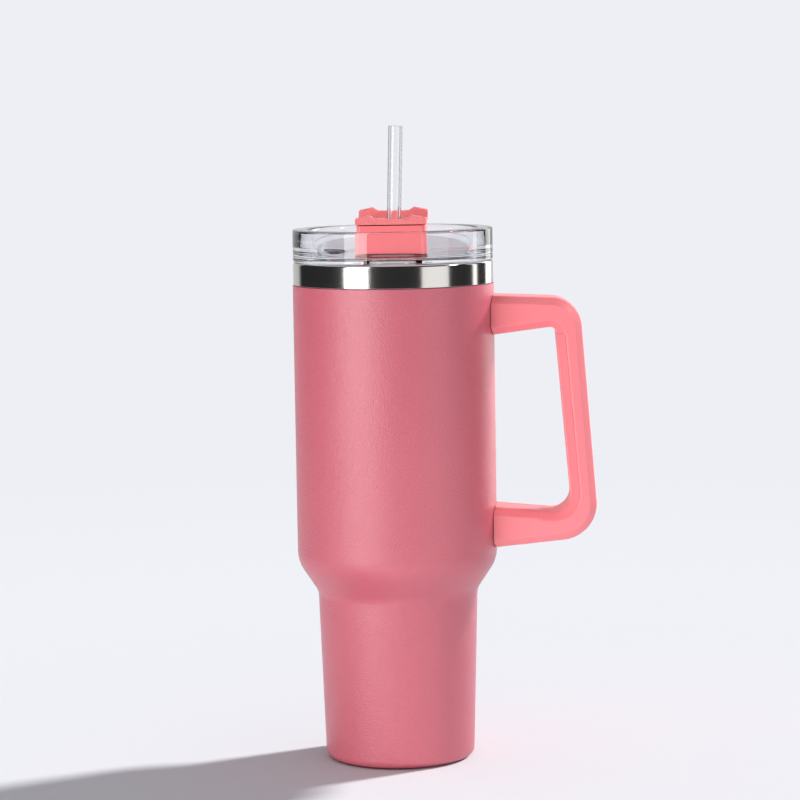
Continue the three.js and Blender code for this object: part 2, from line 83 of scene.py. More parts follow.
class CupSizes(bpy.types.PropertyGroup):
    """Sizes of the coated cup and its steel mouth."""

    base_radius: bpy.props.FloatProperty(
        name="Base radius", description="Radius of the stem at the floor",
        default=36.77 * MM, unit="LENGTH",
    )
    stem_radius: bpy.props.FloatProperty(
        name="Stem radius", description="Radius at the top of the stem",
        default=39.39 * MM, unit="LENGTH",
    )
    stem_height: bpy.props.FloatProperty(
        name="Stem height", description="Height at which the shoulder starts",
        default=83.7 * MM, unit="LENGTH",
    )
    shoulder_height: bpy.props.FloatProperty(
        name="Shoulder height", description="Height at which the shoulder ends",
        default=98.7 * MM, unit="LENGTH",
    )
    body_radius: bpy.props.FloatProperty(
        name="Body radius", description="Radius of the coated body",
        default=reach_of("outer_shell"), unit="LENGTH",
    )
    coating_height: bpy.props.FloatProperty(
        name="Coating height", description="Height at which the coating stops",
        default=235 * MM, unit="LENGTH",
    )
    wall: bpy.props.FloatProperty(
        name="Wall", description="Thickness of each steel wall", default=0.8 * MM, unit="LENGTH"
    )
    space: bpy.props.FloatProperty(
        name="Vacuum space", description="Gap between the two walls", default=1.7 * MM, unit="LENGTH"
    )


class HandleSizes(bpy.types.PropertyGroup):
    """Sizes of the moulded handle's section."""

    width: bpy.props.FloatProperty(
        name="Width", description="Width of the handle across the hand", default=29.6 * MM, unit="LENGTH"
    )
    flat: bpy.props.FloatProperty(
        name="Flat", description="Width of the flat between the chamfers", default=21 * MM, unit="LENGTH"
    )
    chamfer: bpy.props.FloatProperty(
        name="Chamfer", description="Depth of the chamfers at the sides", default=3.65 * MM, unit="LENGTH"
    )
    seam: bpy.props.FloatProperty(
        name="Seam", description="Width of the seam round the grip strip", default=0.04 * MM, unit="LENGTH"
    )


class LidSizes(bpy.types.PropertyGroup):
    """Sizes of the clear lid."""

    radius: bpy.props.FloatProperty(
        name="Radius", description="Radius of the lid's ring", default=reach_of("lid_ring"), unit="LENGTH"
    )
    well_radius: bpy.props.FloatProperty(
        name="Well radius", description="Radius of the well round the bar", default=39 * MM, unit="LENGTH"
    )
    rim_round: bpy.props.FloatProperty(
        name="Rim round", description="Round of the ring's top edges", default=1 * MM, unit="LENGTH"
    )


class Finishes(bpy.types.PropertyGroup):
    """Colours of the finishes."""

    coating: bpy.props.FloatVectorProperty(
        name="Powder coat", description="Colour of the powder coat",
        subtype="COLOR", default=(0.495, 0.098, 0.134),
    )
    handle: bpy.props.FloatVectorProperty(
        name="Handle", description="Colour of the handle's plastic",
        subtype="COLOR", default=(0.86, 0.215, 0.24),
    )
    bar: bpy.props.FloatVectorProperty(
        name="Thumb bar", description="Colour of the thumb bar's plastic",
        subtype="COLOR", default=(0.88, 0.165, 0.175),
    )
    steel: bpy.props.FloatVectorProperty(
        name="Steel", description="Colour of the polished steel",
        subtype="COLOR", default=(0.62, 0.60, 0.58),
    )


# Nodes, and the trees of the turned pieces, whose sizes are named inputs


class Term:
    """A value in a node tree that adds and subtracts as a number does."""

    def __init__(self, tree, socket):
        self.tree = tree
        self.socket = socket

    def __add__(self, other):
        return Term(self.tree, maths(self.tree, "ADD", self, other))

    def __sub__(self, other):
        return Term(self.tree, maths(self.tree, "SUBTRACT", self, other))


def put(tree, socket, value):
    """Links a Term or an output to a node's input, or sets the input to a plain value."""
    if isinstance(value, Term):
        value = value.socket
    if isinstance(value, bpy.types.NodeSocket):
        tree.links.new(value, socket)
    else:
        socket.default_value = value


def add_node(tree, kind, settings=None, **values):
    """A node of a kind, its settings set and its inputs filled by name."""
    node = tree.nodes.new(kind)
    for key, value in (settings or {}).items():
        setattr(node, key, value)
    for key, value in values.items():
        put(tree, node.inputs[key.replace("_", " ")], value)
    return node


def fed(tree, kind, settings, *values):
    """The first output of a node whose inputs are filled in order."""
    node = add_node(tree, kind, settings)
    for socket, value in zip(node.inputs, values):
        put(tree, socket, value)
    return node.outputs[0]


def maths(tree, operation, *values):
    return fed(tree, "ShaderNodeMath", {"operation": operation}, *values)


def mix_shaders(tree, share, first, second):
    return fed(tree, "ShaderNodeMixShader", {}, share, first, second)


class ShapeTree:
    """A geometry node tree with named sizes, which ends in Realize Instances and Set Material."""

    def __init__(self, name):
        self.tree = bpy.data.node_groups.new(name, "GeometryNodeTree")
        self.tree.interface.new_socket("Geometry", in_out="OUTPUT", socket_type="NodeSocketGeometry")
        self.ways_in = self.tree.nodes.new("NodeGroupInput")

    def size(self, name, value):
        socket = self.tree.interface.new_socket(name, in_out="INPUT", socket_type="NodeSocketFloat")
        socket.subtype = "DISTANCE"
        socket.default_value = value
        return Term(self.tree, self.ways_in.outputs[name])

    def add(self, kind, settings=None, **values):
        """The first output of a new node."""
        return add_node(self.tree, kind, settings, **values).outputs[0]

    def chosen(self, data_type, values):
        """A field that takes one of the values by the point's index."""
        node = add_node(self.tree, "GeometryNodeIndexSwitch", {"data_type": data_type})
        while len(node.index_switch_items) < len(values):
            node.index_switch_items.new()
        for socket, value in zip(node.inputs, (self.add("GeometryNodeInputIndex"), *values)):
            put(self.tree, socket, value)
        return node.outputs[0]

    def outline(self, corners, closed, steps):
        """A curve through corners of (x, y, round)."""
        places = [self.add("ShaderNodeCombineXYZ", X=x, Y=y) for x, y, *_ in corners]
        rounds = [corner[2] if len(corner) > 2 else 0.0 for corner in corners]
        line = self.add("GeometryNodeMeshLine", Count=len(corners), Offset=(0, 0, 0))
        place = self.chosen("VECTOR", places)
        placed = self.add("GeometryNodeSetPosition", Geometry=line, Position=place)
        curve = self.add("GeometryNodeMeshToCurve", Mesh=placed)
        shut = self.add("GeometryNodeSetSplineCyclic", Geometry=curve, Cyclic=closed)
        radius = self.chosen("FLOAT", rounds)
        return self.add(
            "GeometryNodeFilletCurve", {"mode": "POLY"},
            Curve=shut, Count=steps, Radius=radius, Limit_Radius=True,
        )

    def turn(self, profile, segments):
        """The profile curve, turned about the Z axis."""
        core = 10 * MM
        back = (-core, 0, 0)
        placed = self.add("GeometryNodeTransform", Geometry=profile, Translation=back, Scale=(1, -1, 1))
        circle, by_radius = "GeometryNodeCurvePrimitiveCircle", {"mode": "RADIUS"}
        path = self.add(circle, by_radius, Resolution=segments, Radius=core)
        swept = self.add("GeometryNodeCurveToMesh", Curve=path, Profile_Curve=placed)
        return self.add("GeometryNodeMergeByDistance", Geometry=swept, Distance=DOUBLES)

    def finish(self, geometry, material):
        smooth = self.add("GeometryNodeSetShadeSmooth", Geometry=geometry, Shade_Smooth=True)
        real = self.add("GeometryNodeRealizeInstances", Geometry=smooth)
        painted = self.add("GeometryNodeSetMaterial", Geometry=real, Material=material)
        add_node(self.tree, "NodeGroupOutput", Geometry=painted)
        return self.tree


def link(data, name):
    """An object in the scene that holds a mesh, a light or a camera."""
    holder = bpy.data.objects.new(name, data)
    bpy.context.scene.collection.objects.link(holder)
    return holder


def made(shape, name):
    """A piece from a bmesh, which is freed."""
    mesh = bpy.data.meshes.new(name)
    shape.to_mesh(mesh)
    shape.free()
    return link(mesh, name)


def face_outward(shape):
    bmesh.ops.recalc_face_normals(shape, faces=shape.faces)


def outward(mesh):
    """Merges doubles and turns every face of a closed mesh outwards."""
    shape = bmesh.new()
    shape.from_mesh(mesh)
    bmesh.ops.remove_doubles(shape, verts=shape.verts, dist=DOUBLES)
    bmesh.ops.dissolve_degenerate(shape, edges=shape.edges, dist=DOUBLES / 10)
    face_outward(shape)
    shape.to_mesh(mesh)
    shape.free()


def grow(name, tree, sizes):
    """A plain mesh piece from a tree, with its inputs set by their identifiers."""
    carrier = link(bpy.data.meshes.new(name + "_start"), name + "_start")
    modifier = carrier.modifiers.new("Shape", "NODES")
    modifier.node_group = tree
    for item in tree.interface.items_tree:
        if item.item_type == "SOCKET" and item.in_out == "INPUT" and item.name in sizes:
            modifier[item.identifier] = sizes[item.name]
    mesh = evaluated_mesh(carrier, name)
    bpy.data.objects.remove(carrier)
    outward(mesh)
    return link(mesh, name)


def evaluated_mesh(piece, name):
    """A plain mesh of a piece with its modifiers applied."""
    mesh = bpy.data.meshes.new_from_object(piece.evaluated_get(bpy.context.evaluated_depsgraph_get()))
    mesh.name = name
    return mesh


def settle(piece):
    """Applies a piece's modifiers to its mesh."""
    mesh = evaluated_mesh(piece, piece.name)
    piece.modifiers.clear()
    piece.data = mesh
    return piece


def steady_normals(piece, sharp=35):
    """Sharp edges by angle, and normals that keep the broad faces even."""
    for polygon in piece.data.polygons:
        polygon.use_smooth = True
    piece.data.set_sharp_from_angle(angle=math.radians(sharp))
    modifier = piece.modifiers.new("Even normals", "WEIGHTED_NORMAL")
    modifier.keep_sharp = True
    modifier.weight = 100
    return settle(piece)


def turned(name, corners, material, segments=TURNS, steps=6, sizes=None):
    """A turned piece. corners is a list, or a function that makes one from the tree's named sizes."""
    tree = ShapeTree(name.replace("_", " ").capitalize())
    terms = {key: tree.size(key, value) for key, value in (sizes or {}).items()}
    points = corners(terms) if callable(corners) else corners
    on_axis = not isinstance(points[0][0], Term) and points[0][0] == 0
    profile = tree.outline(points, not on_axis, steps)
    return steady_normals(grow(name, tree.finish(tree.turn(profile, segments), material), sizes or {}))


def cut(piece, cutter):
    """Takes the cutter out of the piece, and removes the cutter."""
    modifier = piece.modifiers.new("Cut", "BOOLEAN")
    modifier.operation = "DIFFERENCE"
    modifier.solver = "EXACT"
    modifier.object = cutter
    settle(piece)
    bpy.data.objects.remove(cutter)
    return piece


# Half the angle of a corner, in radians, above which it counts as straight
NEARLY_STRAIGHT = 1.56


def corner_arc(before, corner, after, radius, steps):
    """Points of the arc that rounds a corner."""
    back = (Vector(before) - Vector(corner)).normalized()
    ahead = (Vector(after) - Vector(corner)).normalized()
    half = back.angle(ahead) / 2
    if half > NEARLY_STRAIGHT:
        near, far = Vector(corner) + back * radius / 2, Vector(corner) + ahead * radius / 2
        return [near.lerp(far, i / steps) for i in range(steps + 1)]
    centre = Vector(corner) + (back + ahead).normalized() * (radius / math.sin(half))
    first = Vector(corner) + back * (radius / math.tan(half)) - centre
    last = Vector(corner) + ahead * (radius / math.tan(half)) - centre
    sweep = -first.angle_signed(last)
    return [centre + Matrix.Rotation(sweep * i / steps, 2) @ first for i in range(steps + 1)]


def rounded(corners, closed=True, steps=4):
    """A polyline whose corners of (x, y, radius) are rounded."""
    points = []
    count = len(corners)
    for i, (x, y, *radius) in enumerate(corners):
        at_end = not closed and i in (0, count - 1)
        if at_end or not radius or radius[0] == 0:
            points.append(Vector((x, y)))
            continue
        before = corners[i - 1][:2]
        after = corners[(i + 1) % count][:2]
        points += corner_arc(before, (x, y), after, radius[0], steps)
    return points


def prism(name, outline, low, high):
    """A closed upright prism between two heights."""
    shape = bmesh.new()
    bottom = [shape.verts.new((point.x, point.y, low)) for point in outline]
    top = [shape.verts.new((point.x, point.y, high)) for point in outline]
    shape.faces.new(bottom)
    shape.faces.new(top)
    for i in range(len(outline)):
        j = (i + 1) % len(outline)
        shape.faces.new((bottom[i], bottom[j], top[j], top[i]))
    face_outward(shape)
    return made(shape, name)


def box_outline(width, length, radius, y=0.0):
    """Corners of a rectangle that is centred at X = 0."""
    half_x, half_y = width / 2, length / 2
    return [
        (-half_x, y - half_y, radius),
        (half_x, y - half_y, radius),
        (half_x, y + half_y, radius),
        (-half_x, y + half_y, radius),
    ]


# Shared surface effects and finishes


def empty_skin(name):
    """A shader group with the inputs and outputs that every skin has, and the sockets of its two ends."""
    group = bpy.data.node_groups.new(name, "ShaderNodeTree")
    colour, number, direction = "NodeSocketColor", "NodeSocketFloat", "NodeSocketVector"
    group.interface.new_socket("Colour", in_out="INPUT", socket_type=colour)
    for label in ("Marks per metre", "Tone change", "Depth", "Roughness", "Roughness change"):
        group.interface.new_socket(label, in_out="INPUT", socket_type=number)
    for label, kind in (("Colour", colour), ("Roughness", number), ("Normal", direction)):
        group.interface.new_socket(label, in_out="OUTPUT", socket_type=kind)
    return group, group.nodes.new("NodeGroupInput").outputs, group.nodes.new("NodeGroupOutput").inputs


def complete_skin(group, asked, given, marks, tone):
    """Gives out the colour at its tone, and a roughness and a normal that follow the marks."""
    scale = {"operation": "SCALE"}
    shade = add_node(group, "ShaderNodeVectorMath", scale, Vector=asked["Colour"], Scale=tone)
    rough = maths(group, "MULTIPLY_ADD", marks, asked["Roughness change"], asked["Roughness"])
    bump = add_node(group, "ShaderNodeBump", Strength=1, Distance=asked["Depth"], Height=marks)
    put(group, given["Colour"], shade.outputs[0])
    put(group, given["Roughness"], rough)
    put(group, given["Normal"], bump.outputs[0])
    return group


def moulded_grain():
    """Fine pebbled grain with a slow drift of tone, as on powder coat and moulded plastic."""
    group, asked, given = empty_skin("Moulded grain")
    place = add_node(group, "ShaderNodeTexCoord").outputs["Object"]
    grain = add_node(
        group, "ShaderNodeTexNoise", Vector=place, Scale=asked["Marks per metre"], Detail=2, Roughness=0.6
    ).outputs["Fac"]
    drift = add_node(group, "ShaderNodeTexNoise", Vector=place, Scale=22, Detail=3).outputs["Fac"]
    both = maths(group, "ADD", grain, drift)
    darkest = maths(group, "SUBTRACT", 1, asked["Tone change"])
    tone = maths(group, "MULTIPLY_ADD", both, asked["Tone change"], darkest)
    return complete_skin(group, asked, given, grain, tone)


def turning_lines():
    """Fine level rings, as a polishing belt leaves on turned steel."""
    group, asked, given = empty_skin("Turning lines")
    place = add_node(group, "ShaderNodeTexCoord").outputs["Object"]
    level = fed(group, "ShaderNodeVectorMath", {"operation": "MULTIPLY"}, place, (0.004, 0.004, 1))
    lines = add_node(
        group, "ShaderNodeTexNoise", Vector=level, Scale=asked["Marks per metre"], Detail=3, Roughness=0.7
    ).outputs["Fac"]
    darkest = maths(group, "MULTIPLY_ADD", asked["Tone change"], -0.5, 1)
    tone = maths(group, "MULTIPLY_ADD", lines, asked["Tone change"], darkest)
    return complete_skin(group, asked, given, lines, tone)


def shared(name, make):
    return bpy.data.node_groups.get(name) or make()


def finish(name, group, colour, marks, depth, roughness, change, tone, edge, sockets):
    """A material that takes its roughness, normal and, unless it is clear, its colour from a shared skin.

    A clear one is given its painted edge shade: how far edge on its painted grey starts and is full, and
    the grey.
    """
    material = bpy.data.materials.get(name)
    if material:
        return material
    material = bpy.data.materials.new(name)
    material.use_nodes = True
    material.diffuse_color = (*colour, 1)
    tree = material.node_tree
    shader = tree.nodes["Principled BSDF"]
    skin = add_node(
        tree, "ShaderNodeGroup", {"node_tree": group}, Colour=(*colour, 1), Marks_per_metre=marks,
        Depth=depth, Roughness=roughness, Roughness_change=change, Tone_change=tone,
    )
    for key, value in sockets.items():
        shader.inputs[key.replace("_", " ")].default_value = value
    put(tree, shader.inputs["Roughness"], skin.outputs["Roughness"])
    put(tree, shader.inputs["Normal"], skin.outputs["Normal"])
    # edge: painted shade, a grey painted into the colour where the clear wall is seen edge on
    if edge:
        let_light_through(tree, shader)
        paint_edge_shade(tree, shader, colour, *edge)
    else:
        put(tree, shader.inputs["Base Color"], skin.outputs["Colour"])
    return material


def let_light_through(tree, shader):
    """Lets straight shadow rays pass, so that what stands behind a clear wall is lit."""
    rays = add_node(tree, "ShaderNodeLightPath").outputs
    passing = add_node(tree, "ShaderNodeBsdfTransparent", Color=(0.93, 0.93, 0.93, 1))
    mixed = mix_shaders(tree, rays["Is Shadow Ray"], shader.outputs[0], passing.outputs[0])
    put(tree, tree.nodes["Material Output"].inputs["Surface"], mixed)


def paint_edge_shade(tree, shader, colour, start, end, painted_edge_grey):
    """Paints shade into a clear piece's colour where its wall is seen edge on: a painted grey for the dark
    seen through the wall there.
    """
    facing = add_node(tree, "ShaderNodeLayerWeight", Blend=0.5).outputs["Facing"]
    spread = add_node(tree, "ShaderNodeMapRange", Value=facing, From_Min=start, From_Max=end)
    mix = add_node(tree, "ShaderNodeMix", {"data_type": "RGBA"}, Factor=spread.outputs[0])
    ends = [socket for socket in mix.inputs if socket.type == "RGBA"]
    for socket, value in zip(ends, (colour, painted_edge_grey)):
        socket.default_value = (*value, 1)
    result = next(socket for socket in mix.outputs if socket.type == "RGBA")
    put(tree, shader.inputs["Base Color"], result)


def grained(name, colour, grain, depth, roughness, change=0.06, tone=0.05, edge=None, **sockets):
    group = shared("Moulded grain", moulded_grain)
    return finish(name, group, colour, grain, depth, roughness, change, tone, edge, sockets)


def lined(name, colour, lines, depth, roughness, change=0.08, tone=0.1, **sockets):
    group = shared("Turning lines", turning_lines)
    return finish(name, group, colour, lines, depth, roughness, change, tone, None, sockets)


def colours():
    return bpy.context.scene.tumbler_finishes


def powder_coat():
    return grained(
        "powder_coat", colours().coating, 1300, 0.0003, 0.27,
        change=0.12, tone=0.12, Specular_IOR_Level=0.95,
    )


def polished_steel():
    return lined("polished_steel", colours().steel, 2600, 0.000003, 0.10, change=0.06, Metallic=1.0)


def mill_steel():
    return lined("mill_steel", (0.42, 0.41, 0.40), 1800, 0.00001, 0.32, tone=0.18, Metallic=1.0)


def handle_plastic():
    return grained("satin_moulding", colours().handle, 700, 0.00001, 0.22, change=0.06, tone=0.02)


def grip_plastic():
    return grained("grip_moulding", colours().handle, 1500, 0.00002, 0.34, change=0.08, tone=0.03)


def bar_plastic():
    return grained("bar_moulding", colours().bar, 1800, 0.00003, 0.32, change=0.08, tone=0.04)


def cap_plastic():
    pale = [0.88 * channel + 0.045 for channel in colours().bar]
    return grained("pebbled_moulding", pale, 1300, 0.0007, 0.4, change=0.14, tone=0.22)


def clear_plastic():
    return grained(
        "clear_moulding", (0.945, 0.945, 0.965), 60, 0.000002, 0.0, change=0.03,
        # edge: painted shade, grey where the lid's wall is seen edge on
        edge=(0.84, 0.97, (0.3, 0.31, 0.33)), Transmission_Weight=1.0, IOR=1.5, Specular_IOR_Level=1.0,
    )


def straw_plastic():
    return grained(
        "straw_moulding", (0.97, 0.975, 0.98), 120, 0.0000002, 0.0, change=0.02,
        # edge: painted shade, grey where the straw's wall is seen edge on
        edge=(0.3, 0.62, (0.16, 0.165, 0.17)), Transmission_Weight=1.0, IOR=1.49,
    )


def silicone():
    return grained(
        "milky_silicone", (0.86, 0.86, 0.84), 900, 0.00001, 0.45, Transmission_Weight=0.35, IOR=1.41
    )


def pad_rubber():
    return grained("pad_moulding", (0.11, 0.05, 0.055), 1400, 0.00008, 0.7, tone=0.12)


def getter_metal():
    return grained("sintered_getter", (0.15, 0.15, 0.16), 1800, 0.00006, 0.6, tone=0.2, Metallic=0.7)


def solder():
    return grained("solder_bead", (0.28, 0.28, 0.29), 500, 0.00005, 0.34, tone=0.12, Metallic=1.0)


def paint(node, material):
    """Gives a carried-over CAD node its finish."""
    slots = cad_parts[node].data.materials
    slots.clear()
    slots.append(material)


# Operators


class TUMBLER_OT_cup(bpy.types.Operator):
    """Builds the coated shell, the steel liner with its rolled mouth, and the parts in the vacuum space"""

    bl_idname = "tumbler.cup"
    bl_label = "Cup"

    def execute(self, context):
        cup = context.scene.tumbler_cup
        sizes = {
            "Base radius": cup.base_radius,
            "Stem radius": cup.stem_radius,
            "Stem height": cup.stem_height,
            "Shoulder height": cup.shoulder_height,
            "Body radius": cup.body_radius,
            "Coating height": cup.coating_height,
            "Wall": cup.wall,
            "Vacuum space": cup.space,
            "Lip height": top_of("inner_liner"),
            "Floor height": foot_of("inner_liner"),
            "Lift": foot_of("outer_shell"),
        }

        # How much higher the shoulder is on the shell's inside and on the liner's outside and inside
        shell_rise, space_rise, liner_rise = 0.55 * MM, 1.7 * MM, 2.25 * MM

        def shell_profile(s):
            wall = s["Wall"]
            hole = s["Base radius"] - 5.47 * MM
            neck = s["Body radius"] - 1.4 * MM
            neck_top = s["Lip height"] - wall - GAP
            return [
                (hole, s["Lift"]),
                (s["Base radius"], s["Lift"], 3.6 * MM),
                (s["Stem radius"], s["Stem height"], 9 * MM),
                (s["Body radius"], s["Shoulder height"], 17.5 * MM),
                (s["Body radius"], s["Coating height"], 0.25 * MM),
                (neck, s["Coating height"]),
                (neck, neck_top),
                (neck - wall, neck_top),
                (neck - wall, s["Coating height"] - wall),
                (s["Body radius"] - wall, s["Coating height"] - wall),
                (s["Body radius"] - wall, s["Shoulder height"] + shell_rise, 16.7 * MM),
                (s["Stem radius"] - wall, s["Stem height"] + shell_rise, 9.8 * MM),
                (s["Base radius"] - wall, s["Lift"] + wall, 2.8 * MM),
                (hole, s["Lift"] + wall),
            ]

        def liner_profile(s):
            wall = s["Wall"]
            gap = wall + s["Vacuum space"]
            inside = s["Body radius"] - gap - wall
            band = s["Body radius"] - 0.3 * MM
            return [
                (0, s["Floor height"]),
                (s["Base radius"] - gap, s["Floor height"], 8 * MM),
                (s["Stem radius"] - gap, s["Stem height"] + space_rise, 11.5 * MM),
                (s["Body radius"] - gap, s["Shoulder height"] + space_rise, 15 * MM),
                (s["Body radius"] - gap, s["Lip height"] - wall),
                (band - wall, s["Lip height"] - wall),
                (band - wall, s["Coating height"] + GAP),
                (band, s["Coating height"] + GAP, 0.2 * MM),
                (band, s["Lip height"], 1.3 * MM),
                (inside, s["Lip height"], 1 * MM),
                (inside, s["Shoulder height"] + liner_rise, 14.2 * MM),
                (s["Stem radius"] - gap - wall, s["Stem height"] + liner_rise, 12.3 * MM),
                (s["Base radius"] - gap - wall, s["Floor height"] + wall, 7.2 * MM),
                (0, s["Floor height"] + wall),
            ]

        shell = turned("cup_shell", shell_profile, powder_coat(), steps=10, sizes=sizes)
        liner = turned("steel_liner", liner_profile, polished_steel(), steps=10, sizes=sizes)
        for piece, node, slot in ((shell, "outer_shell", "coating"), (liner, "inner_liner", "steel")):
            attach(piece, "cup")
            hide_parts(node)
        for node in ("vacuum_disc", "base_cap", "getter_clip"):
            paint(node, mill_steel())
        paint("getter_capsule", getter_metal())
        paint("vacuum_port_seal", solder())
        return {"FINISHED"}


class TUMBLER_OT_pad(bpy.types.Operator):
    """Builds the ribbed non-slip pad on which the tumbler stands"""

    bl_idname = "tumbler.pad"
    bl_label = "Base pad"

    def execute(self, context):
        radius = reach_of("base_pad")
        top = top_of("base_pad")
        foot = foot_of("base_pad")
        groove, width, slant, soft = 0.35 * MM, 1.2 * MM, 0.3 * MM, 0.1 * MM
        underside = [(0, foot)]
        for rib in (8, 12, 16, 20, 24):
            start = rib * MM
            underside += [
                (start, foot, soft),
                (start + slant, foot + groove, soft),
                (start + width - slant, foot + groove, soft),
                (start + width, foot, soft),
            ]
        corners = [*underside, (radius, foot, 0.4 * MM), (radius, top, 0.2 * MM), (0, top)]
        pad = turned("ribbed_pad", corners, pad_rubber(), segments=128, steps=2)
        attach(pad, "cup")
        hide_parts("base_pad")
        return {"FINISHED"}


# Corners of the handle's edges in X, Z and round, in millimetres, from the upper root to the lower one
INNER_EDGE = [(41.3, 208.8), (79.2, 213.5, 3.5), (86.8, 121.3, 9), (41.3, 125.9)]
OUTER_EDGE = [(41.3, 229.3), (90.8, 227.1, 15), (99.6, 109.8, 18), (41.3, 104.2)]
STRIP_DEPTH = 3.7 * MM
ARC_STEPS = 1000
SHARPEST_ROUND = 0.2 * MM


def offset_edge(corners, distance):
    """The handle's edge moved to its right, each round kept concentric."""
    points = [Vector(corner[:2]) * MM for corner in corners]
    rounds = [corner[2] * MM if len(corner) > 2 else 0 for corner in corners]
    sides = []
    for start, end in zip(points, points[1:]):
        along = (end - start).normalized()
        sides.append((start + Vector((along.y, -along.x)) * distance, along))
    moved = [sides[0][0]]
    for (start, along), (other, onward) in zip(sides, sides[1:]):
        turn = along.x * onward.y - along.y * onward.x
        step = other - start
        moved.append(start + along * ((step.x * onward.y - step.y * onward.x) / turn))
    last_along = sides[-1][1]
    moved.append(points[-1] + Vector((last_along.y, -last_along.x)) * distance)
    rounds = [max(SHARPEST_ROUND, radius - distance) if radius else 0 for radius in rounds]
    return [(*point, radius) for point, radius in zip(moved, rounds)]


def at_reach(start, end, reach):
    """The point at X = reach on the line through two points."""
    return start + (end - start) * ((reach - start.x) / (end.x - start.x))


def handle_line(corners, distance, depth, stations):
    """The line along the handle at one distance in from an edge and one depth in Y."""
    root, first, second, tail = offset_edge(corners, distance)
    reach = math.sqrt((reach_of("outer_shell") + GAP) ** 2 - depth**2)
    arcs = [
        corner_arc(root[:2], first[:2], second[:2], first[2], ARC_STEPS),
        corner_arc(first[:2], second[:2], tail[:2], second[2], ARC_STEPS),
    ]
    start = at_reach(Vector(root[:2]), arcs[0][0], reach)
    end = at_reach(arcs[1][-1], Vector(tail[:2]), reach)
    spans = {
        "upper arm": lambda t: start.lerp(arcs[0][0], t),
        "upper corner": lambda t: arcs[0][round(t * ARC_STEPS)],
        "grip": lambda t: arcs[0][-1].lerp(arcs[1][0], t),
        "lower corner": lambda t: arcs[1][round(t * ARC_STEPS)],
        "lower arm": lambda t: arcs[1][-1].lerp(end, t),
    }
    return [Vector((point.x, depth, point.y)) for point in (spans[span](t) for span, t in stations)]


def spread_along(span, count, start=0.0, end=1.0):
    return [(span, start + (end - start) * i / count) for i in range(count + 1)]


# Where the grip strip starts, as a share of the grip, and ends, as a share of the lower arm
STRIP_START, STRIP_END = 0.002, 0.20
# How far the section runs past the chamfers, towards the middle of the moulding
BEYOND_CHAMFER = 1.2 * MM
STRIP_RUN = [
    *spread_along("grip", 14, STRIP_START, 1.0)[:-1],
    *spread_along("lower corner", 16)[:-1],
    *spread_along("lower arm", 4, 0.0, STRIP_END),
]
BEFORE_STRIP = [*spread_along("upper arm", 8)[:-1], *spread_along("upper corner", 16)]
AFTER_STRIP = spread_along("lower arm", 8, STRIP_END, 1.0)


def across_handle(corners):
    """Points of (depth in Y, distance in from the edge) from one side's corners and their mirror images."""
    mirrored = [(-depth, *rest) for depth, *rest in reversed(corners)]
    return rounded([*corners, *mirrored], closed=False, steps=5)


def handle_section(sizes):
    half = sizes.width / 2
    return across_handle([
        (-half, sizes.chamfer + BEYOND_CHAMFER),
        (-half, sizes.chamfer, 0.9 * MM),
        (-sizes.flat / 2, 0, 3 * MM),
    ])


def strip_seat(sizes):
    """The section where the grip strip lies on the moulding, with as many points as the whole section."""
    half = sizes.width / 2
    return across_handle([
        (-half, sizes.chamfer + BEYOND_CHAMFER),
        (-half, STRIP_DEPTH + 1 * MM, 0.3 * MM),
        (0.3 * MM - half, STRIP_DEPTH, 0.1 * MM),
    ])


def loft(name, near, far):
    """A closed skin over two grids of points, each a list of lines along the piece."""
    shape = bmesh.new()
    lines = [*near, *reversed(far)]
    grid = [[shape.verts.new(point) for point in line] for line in lines]
    count, length = len(grid), len(grid[0])
    for i in range(count):
        j = (i + 1) % count
        for k in range(length - 1):
            shape.faces.new((grid[i][k], grid[j][k], grid[j][k + 1], grid[i][k + 1]))
    for k in (0, length - 1):
        for i in range(len(near) - 1):
            shape.faces.new((grid[i][k], grid[i + 1][k], grid[count - 2 - i][k], grid[count - 1 - i][k]))
    piece = made(shape, name)
    outward(piece.data)
    return piece


class TUMBLER_OT_handle(bpy.types.Operator):
    """Builds the chamfered handle, its grip strip and the fixings inside its arms"""

    bl_idname = "tumbler.handle"
    bl_label = "Handle"

    def execute(self, context):
        sizes = context.scene.tumbler_handle
        section = handle_section(sizes)
        stations = [*BEFORE_STRIP, *STRIP_RUN, *AFTER_STRIP]
        strip_from = len(BEFORE_STRIP)
        strip_to = strip_from + len(STRIP_RUN)
        inner, outer, strip_face, strip_back = [], [], [], []
        for (depth, inset), (seat_depth, seat_inset) in zip(section, strip_seat(sizes)):
            outer.append(handle_line(OUTER_EDGE, inset, depth, stations))
            edge = handle_line(INNER_EDGE, -inset, depth, stations)
            seat = handle_line(INNER_EDGE, -seat_inset, seat_depth, stations)
            inner.append([*edge[:strip_from], *seat[strip_from:strip_to], *edge[strip_to:]])
            back = STRIP_DEPTH - sizes.seam
            strip_face.append(handle_line(INNER_EDGE, -min(inset, back), depth, STRIP_RUN))
            strip_back.append(handle_line(INNER_EDGE, -back, depth, STRIP_RUN))
        arms = loft("handle_moulding", outer, inner)
        arms.data.materials.append(handle_plastic())
        strip = loft("grip_strip", strip_face, strip_back)
        strip.data.materials.append(grip_plastic())
        for piece, node, slot in (
            (arms, "handle_frame", "handle_plastic"),
            (strip, "grip_insert", "grip_plastic"),
        ):
            steady_normals(piece)
            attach(piece, "cup")
            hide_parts(node)
        for place in ("upper", "lower"):
            paint(place + "_bracket", mill_steel())
            paint(place + "_screw", polished_steel())
            paint(place + "_screw_plug", handle_plastic())
        return {"FINISHED"}


# The sip hole's and the window's middle in Y, and the thickness of the disc that turns over them
SIP_PLACE = -31 * MM
DISC_THICKNESS = 1.4 * MM


